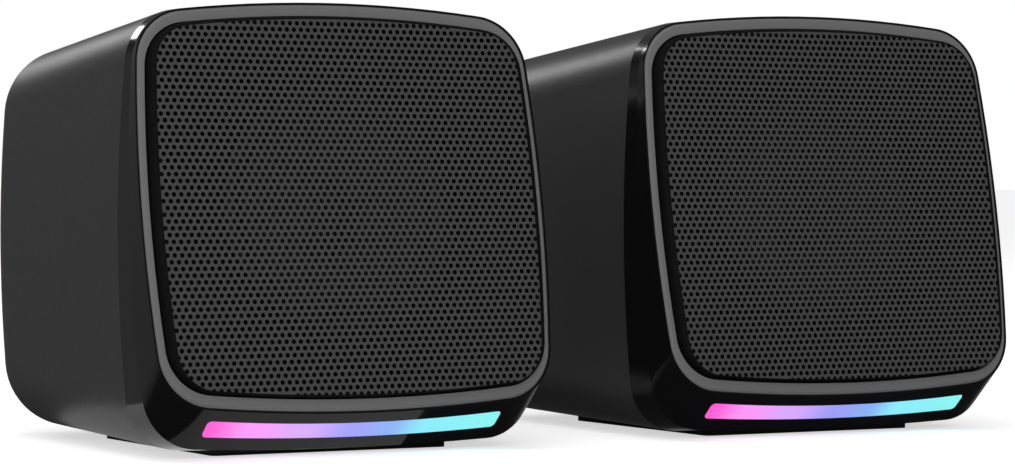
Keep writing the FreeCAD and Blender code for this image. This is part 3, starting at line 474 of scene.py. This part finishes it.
def coil_copper():
    return metal("coil_copper", (0.80, 0.32, 0.14), 0.28, (6, 1, 6), 0.02 * MM)


def cone_paper():
    return soft("cone_paper", (0.02, 0.02, 0.02), 0.8, 0.5 * MM, 0.05 * MM, 0.2)


def dust_cap_paper():
    return soft("dust_cap_paper", (0.014, 0.014, 0.014), 0.6, 0.4 * MM, 0.03 * MM, 0.1)


def surround_rubber():
    return soft("surround_rubber", (0.012, 0.012, 0.012), 0.5, 0.6 * MM, 0.02 * MM)


def spider_cloth():
    return soft("spider_cloth", (0.35, 0.22, 0.08), 0.85, 0.35 * MM, 0.05 * MM, 0.4)


def gasket_foam():
    return soft("gasket_foam", (0.02, 0.02, 0.02), 0.9, 0.25 * MM, 0.08 * MM)


def tag_board():
    return soft("tag_board", (0.22, 0.09, 0.03), 0.6, 0.4 * MM, 0.02 * MM)


def knob_plastic():
    return plastic("knob_plastic", (0.022, 0.022, 0.023), 0.42, 0.22 * MM, 0.02 * MM)


def shaft_metal():
    return metal("shaft_metal", (0.62, 0.62, 0.6), 0.26, (1, 8, 1))


def pot_case():
    return metal("pot_case", (0.5, 0.5, 0.48), 0.35)


def button_plastic():
    return plastic("button_plastic", (0.03, 0.03, 0.031), 0.36, 0.2 * MM, 0.015 * MM)


def switch_case():
    return plastic("switch_case", (0.015, 0.015, 0.016), 0.45, 0.2 * MM, 0.01 * MM)


def plunger_plastic():
    return plastic("plunger_plastic", (0.5, 0.03, 0.02), 0.4, 0.2 * MM, 0.01 * MM)


SLOT_FINISHES = (
    housing_plastic, frame_gloss, rim_paint, grille_paint, diffuser, foot_rubber, gland_rubber,
    circuit_board, led_body, components, screw_steel, basket_steel, plate_steel, ferrite,
    coil_copper, cone_paper, dust_cap_paper, surround_rubber, spider_cloth, gasket_foam, tag_board,
    knob_plastic, shaft_metal, pot_case, button_plastic, switch_case, plunger_plastic,
)


def paint_nodes():
    """Gives each CAD node the material of its slot."""
    made = {finish.__name__: finish() for finish in SLOT_FINISHES}
    for node in frame["nodes"].values():
        for slot in node.material_slots:
            slot.material = made[slot.material.name.split(".")[0]]
    return made


# ---- Grille ----
def hole_centres(outline):
    """Centres of the holes: level rows, every other one half a pitch along."""
    centre = middle(outline) - Vector((0, (FLAT_RISE - FLAT_DROP) / 2))
    found = []
    for row in range(HOLE_ROWS):
        up = (row - (HOLE_ROWS - 1) / 2) * ROW_PITCH
        shift = 0.0 if row % 2 else 0.5
        for column in range(HOLE_COLUMNS):
            across = (column - (HOLE_COLUMNS - 1) / 2 + shift) * HOLE_PITCH
            point = centre + Vector((across, up))
            if depth_inside(point, outline) > -HOLE_OVERHANG:
                found.append(point)
    return found


def hole_outline(centre):
    """Points round one hole."""
    turn = 2 * math.pi / HOLE_SIDES
    return [centre + Vector((math.cos(i * turn), math.sin(i * turn))) * HOLE_RADIUS
            for i in range(HOLE_SIDES)]


def perforated(outline):
    """Points and triangles of the flat with the holes left out; holes at its end are cut off."""
    loops = [outline] + [hole_outline(hole) for hole in hole_centres(outline)]
    points, faces = [], []
    for loop in loops:
        faces.append(list(range(len(points), len(points) + len(loop))))
        points.extend(loop)
    result = delaunay_2d_cdt(points, [], faces, 1, CUT_TOLERANCE)
    corners, triangles, sources = result[0], result[2], result[5]
    kept = [t for t, source in zip(triangles, sources) if list(source) == [0]]
    return corners, kept


def corner(bm, point, height):
    """A vertex at an (across, up) point and a height along the front direction."""
    return bm.verts.new(ACROSS * point.x + UP * point.y + FRONT * height)


def add_sheet(bm, outline, reach):
    """The perforated flat: front, rear, and a wall round it and in every hole, coloured with near-black
    painted shade.
    """
    points, triangles = perforated(outline)
    front = [corner(bm, p, reach) for p in points]
    rear = [corner(bm, p, reach - SHEET) for p in points]
    walls = {}
    for triangle in triangles:
        bm.faces.new([front[i] for i in triangle])
        bm.faces.new([rear[i] for i in reversed(triangle)])
        for a, b in zip(triangle, list(triangle[1:]) + [triangle[0]]):
            key = frozenset((a, b))
            if key in walls:
                del walls[key]
            else:
                walls[key] = (a, b)
    for a, b in walls.values():
        # Walls take the second slot, the near-black painted shade.
        bm.faces.new((front[b], front[a], rear[a], rear[b])).material_index = 1
    for vertex in [v for v in bm.verts if not v.link_faces]:
        bm.verts.remove(vertex)


def ring_sections(flat, outline):
    """Loops of the ring with their depths: over the round edge, down the skirt, back inside."""
    seat = grown(outline, EDGE_GAP)
    skirt = grown(flat, EDGE_RADIUS)
    inside = grown(skirt, -SHEET)
    ledge = grown(seat, -LEDGE_WIDTH)
    sections = []
    for step in range(EDGE_STEPS + 1):
        angle = math.radians(90 * step / EDGE_STEPS)
        loop = [a.lerp(b, math.sin(angle)) for a, b in zip(seat, skirt)]
        sections.append((loop, EDGE_RADIUS * (1 - math.cos(angle))))
    below = SHEET + EDGE_GAP
    sections.append((skirt, SKIRT_DEPTH))
    sections.append((inside, SKIRT_DEPTH))
    sections.append((inside, below + LEDGE_THICKNESS))
    sections.append((ledge, below + LEDGE_THICKNESS))
    sections.append((ledge, below))
    sections.append((seat, below))
    return sections


def add_ring(bm, flat, outline, reach):
    """The ring that holds the sheet and turns back into a skirt, all coloured with near-black painted
    shade.
    """
    rings = [[corner(bm, p, reach - depth) for p in loop]
             for loop, depth in ring_sections(flat, outline)]
    for one, other in zip(rings, rings[1:] + rings[:1]):
        for i in range(len(one)):
            j = (i + 1) % len(one)
            # The whole ring takes the near-black painted shade.
            bm.faces.new((one[i], other[i], other[j], one[j])).material_index = 1


def grille(side, materials):
    """A perforated sheet in a ring with a round edge; each of the two is closed."""
    node = side + "_grille"
    flat, reach = flat_outline(node)
    reach -= SET_BACK
    outline = stretched(flat, FLAT_RISE, FLAT_DROP)
    bm = bmesh.new()
    add_sheet(bm, outline, reach)
    add_ring(bm, flat, outline, reach)
    bmesh.ops.recalc_face_normals(bm, faces=bm.faces)
    for face in bm.faces:
        face.smooth = True
    piece = object_from(side + "_grille_sheet", bm, materials)
    piece.data.set_sharp_from_angle(angle=SHARP_ANGLE)
    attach(piece, side + "_speaker")
    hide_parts(node)


# ---- Stage ----
def grille_middle():
    """Middle of the two grille faces."""
    points = []
    for side in SIDES:
        outline, reach = flat_outline(side + "_grille")
        centre = middle(outline)
        points.append(ACROSS * centre.x + UP * centre.y + FRONT * reach)
    return (points[0] + points[1]) / 2


def camera():
    """The photograph's viewpoint."""
    a, e = math.radians(CAMERA_AZIMUTH), math.radians(CAMERA_ELEVATION)
    back = Vector((math.sin(a) * math.cos(e), -math.cos(a) * math.cos(e), math.sin(e)))
    data = bpy.data.cameras.new("camera")
    data.lens = LENS
    data.sensor_width = SENSOR
    data.sensor_fit = "HORIZONTAL"
    data.clip_start = NEAR_CLIP
    data.clip_end = FAR_CLIP
    made = linked("camera", data)
    made.location = grille_middle() + CAMERA_OFFSET
    made.rotation_euler = back.to_track_quat("Z", "Y").to_euler()
    bpy.context.scene.camera = made


def area_light(name, place, size, power):
    """A rectangular light that the camera doesn't see. It shines downwards until it is turned."""
    data = bpy.data.lights.new(name, "AREA")
    data.shape = "RECTANGLE"
    data.size, data.size_y = size
    data.energy = power
    made = linked(name, data)
    made.location = place
    made.visible_camera = False
    return made


def gloss_card(centre):
    """A pale card under the left speaker's chin that only its gloss shows."""
    card = area_light("gloss_card", centre + Vector(CARD_PLACE), CARD_SIZE, CARD_POWER)
    card.rotation_euler = (math.pi, 0.0, math.radians(CARD_TURN))
    card.visible_diffuse = False
    card.visible_transmission = False


def floor():
    """A pale table. Gloss mirrors the dark lower half of the room instead, as over a black card."""
    made = Finish("floor", (FLOOR_TONE, FLOOR_TONE, FLOOR_TONE), 0.7, specular=0.1)
    made.vary_roughness(made.noise(0.4), 0.05)
    sight = made.nodes.new("ShaderNodeLightPath").outputs["Is Camera Ray"]
    made.set("Emission Color", (1.0, 1.0, 1.0, 1.0))
    made.link(made.spread(sight, 0.0, FLOOR_GLOW, 0.0, 1.0), made.shader.inputs["Emission Strength"])
    bm = bmesh.new()
    bmesh.ops.create_grid(bm, x_segments=FLOOR_CELLS, y_segments=FLOOR_CELLS, size=FLOOR_REACH)
    piece = object_from("floor", bm, [made.material])
    piece.visible_glossy = False


def room():
    """Plain white to the camera. It lights the object more from above than from below."""
    world = bpy.data.worlds.new("room")
    world.use_nodes = True
    nodes, links = world.node_tree.nodes, world.node_tree.links
    lit = nodes["Background"]
    seen = nodes.new("ShaderNodeBackground")
    height = nodes.new("ShaderNodeSeparateXYZ")
    links.new(nodes.new("ShaderNodeTexCoord").outputs["Generated"], height.inputs["Vector"])
    share = nodes.new("ShaderNodeMapRange")
    share.inputs["From Min"].default_value = -1.0
    links.new(height.outputs["Z"], share.inputs["Value"])
    ramp = nodes.new("ShaderNodeValToRGB")
    set_stops(ramp, [(place, (tone, tone, tone)) for place, tone in ROOM_TONES])
    links.new(share.outputs["Result"], ramp.inputs["Fac"])
    links.new(ramp.outputs["Color"], lit.inputs["Color"])
    seen.inputs["Color"].default_value = (1.0, 1.0, 1.0, 1.0)
    mix = nodes.new("ShaderNodeMixShader")
    links.new(nodes.new("ShaderNodeLightPath").outputs["Is Camera Ray"], mix.inputs["Fac"])
    links.new(lit.outputs["Background"], mix.inputs[1])
    links.new(seen.outputs["Background"], mix.inputs[2])
    links.new(mix.outputs["Shader"], nodes["World Output"].inputs["Surface"])
    bpy.context.scene.world = world


def studio():
    """A dim room, soft boxes behind, at the camera's side and above, and a card for the chin."""
    bpy.context.scene.view_settings.view_transform = "Standard"
    room()
    centre = (CAD_BOX[0] + CAD_BOX[1]) / 2
    for name, away, size, power in SOFT_BOXES:
        box = area_light(name, centre + Vector(away), size, power)
        box.rotation_euler = Vector(away).to_track_quat("Z", "Y").to_euler()
    gloss_card(centre)


camera()
studio()
floor()
materials = paint_nodes()
# Near-black grille coat: painted shade for the hole walls, round edge and skirt.
edge = grille_painted_shade()
for side in SIDES:
    grille(side, [materials["grille_paint"], edge])
